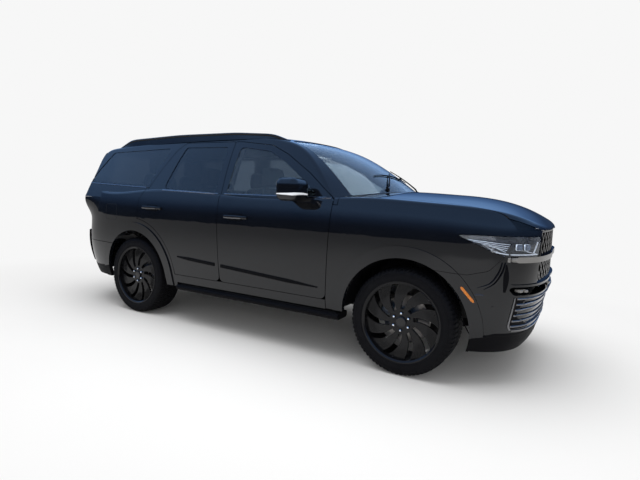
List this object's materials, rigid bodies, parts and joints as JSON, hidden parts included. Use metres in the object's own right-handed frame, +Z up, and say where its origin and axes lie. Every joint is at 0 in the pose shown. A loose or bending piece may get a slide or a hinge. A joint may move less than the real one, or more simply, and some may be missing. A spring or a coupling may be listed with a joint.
{
  "type": "large three-row suv",
  "caption": "Large family suv with hinged doors, hood and tailgate, steered front wheels and a hollow cabin.",
  "frame": {"origin": "on the ground, midway along the car's length, on its middle plane", "axes": "+X forward, +Y to the car's left, +Z up"},
  "size_m": [5.3335, 2.42, 1.984],
  "materials": {
    "paint": "gloss black clear-coated paint",
    "gloss_black": "piano black trim",
    "trim_black": "black moulded trim and underbody coating",
    "glass_clear": "lightly tinted safety glass",
    "glass_dark": "privacy glass",
    "lens": "clear lamp lens",
    "lens_red": "red lamp lens",
    "wheel_black": "gloss black cast alloy",
    "tyre": "black tyre rubber",
    "frame_steel": "black coated steel",
    "cast_alloy": "as-cast alloy",
    "exhaust_steel": "stainless steel pipe",
    "cabin_plastic": "soft-touch dashboard",
    "seat_leather": "black leather"
  },
  "bodies": {
    "body": {"body_side_left": "paint", "body_side_right": "paint", "bulkhead": "trim_black", "chassis_frame": "frame_steel", "dashboard": "cabin_plastic", "engine": "cast_alloy", "exhaust": "exhaust_steel", "fenders": "paint", "floor_pan": "trim_black", "front_bumper": "paint", "front_structure": "trim_black", "front_suspension": "frame_steel", "fuel_tank": "trim_black", "headlamps": "lens", "lower_grille": "gloss_black", "quarter_glass": "glass_dark", "rear_bumper": "paint", "rear_suspension": "frame_steel", "roof_panel": "paint", "roof_rails": "gloss_black", "running_boards": "trim_black", "seats": "seat_leather", "tail_lamps": "lens_red", "upper_grille": "gloss_black", "windshield": "glass_clear"},
    "hood": {"hood": "paint"},
    "tailgate": {"tailgate": "paint", "tailgate_glass": "glass_dark", "tailgate_lamp": "lens_red"},
    "front_door_right": {"door_front_right": "paint", "door_glass_front_right": "glass_clear", "mirror_right": "paint"},
    "rear_door_right": {"door_rear_right": "paint", "door_glass_rear_right": "glass_dark"},
    "knuckle_front_right": {"knuckle_front_right": "cast_alloy"},
    "front_door_left": {"door_front_left": "paint", "door_glass_front_left": "glass_clear", "mirror_left": "paint"},
    "rear_door_left": {"door_rear_left": "paint", "door_glass_rear_left": "glass_dark"},
    "knuckle_front_left": {"knuckle_front_left": "cast_alloy"},
    "wheel_front_right": {"wheel_front_right": "wheel_black", "tyre_front_right": "tyre"},
    "wheel_front_left": {"wheel_front_left": "wheel_black", "tyre_front_left": "tyre"},
    "wheel_rear_right": {"wheel_rear_right": "wheel_black", "tyre_rear_right": "tyre"},
    "wheel_rear_left": {"wheel_rear_left": "wheel_black", "tyre_rear_left": "tyre"}
  },
  "joints": [
    {"name": "front_door_hinge_right", "type": "hinge", "parent": "body", "child": "front_door_right", "pos_m": [1.095, -1.0175, 0.9], "axis": [0, 0, 1], "range_deg": [0, 66]},
    {"name": "rear_door_hinge_right", "type": "hinge", "parent": "body", "child": "rear_door_right", "pos_m": [-0.13, -1.0175, 0.9], "axis": [0, 0, 1], "range_deg": [0, 70]},
    {"name": "steering_right", "type": "hinge", "parent": "body", "child": "knuckle_front_right", "pos_m": [1.722, -0.775, 0.419], "axis": [0, 0, 1], "range_deg": [-35, 35]},
    {"name": "front_door_hinge_left", "type": "hinge", "parent": "body", "child": "front_door_left", "pos_m": [1.095, 1.0175, 0.9], "axis": [0, 0, -1], "range_deg": [0, 66]},
    {"name": "rear_door_hinge_left", "type": "hinge", "parent": "body", "child": "rear_door_left", "pos_m": [-0.13, 1.0175, 0.9], "axis": [0, 0, -1], "range_deg": [0, 70]},
    {"name": "steering_left", "type": "hinge", "parent": "body", "child": "knuckle_front_left", "pos_m": [1.722, 0.775, 0.419], "axis": [0, 0, 1], "range_deg": [-35, 35]},
    {"name": "spin_front_right", "type": "hinge", "parent": "knuckle_front_right", "child": "wheel_front_right", "pos_m": [1.722, -0.85, 0.419], "axis": [0, 1, 0], "continuous": true},
    {"name": "spin_front_left", "type": "hinge", "parent": "knuckle_front_left", "child": "wheel_front_left", "pos_m": [1.722, 0.85, 0.419], "axis": [0, 1, 0], "continuous": true},
    {"name": "spin_rear_right", "type": "hinge", "parent": "body", "child": "wheel_rear_right", "pos_m": [-1.389, -0.85, 0.419], "axis": [0, 1, 0], "continuous": true},
    {"name": "spin_rear_left", "type": "hinge", "parent": "body", "child": "wheel_rear_left", "pos_m": [-1.389, 0.85, 0.419], "axis": [0, 1, 0], "continuous": true},
    {"name": "hood_hinge", "type": "hinge", "parent": "body", "child": "hood", "pos_m": [1.29, 0, 1.4], "axis": [0, -1, 0], "range_deg": [0, 48]},
    {"name": "tailgate_hinge", "type": "hinge", "parent": "body", "child": "tailgate", "pos_m": [-2.13, 0, 1.906], "axis": [0, 1, 0], "range_deg": [0, 80]}
  ],
  "couplings": [
    {"joint": "steering_left", "follows": "steering_right", "ratio": 1}
  ]
}
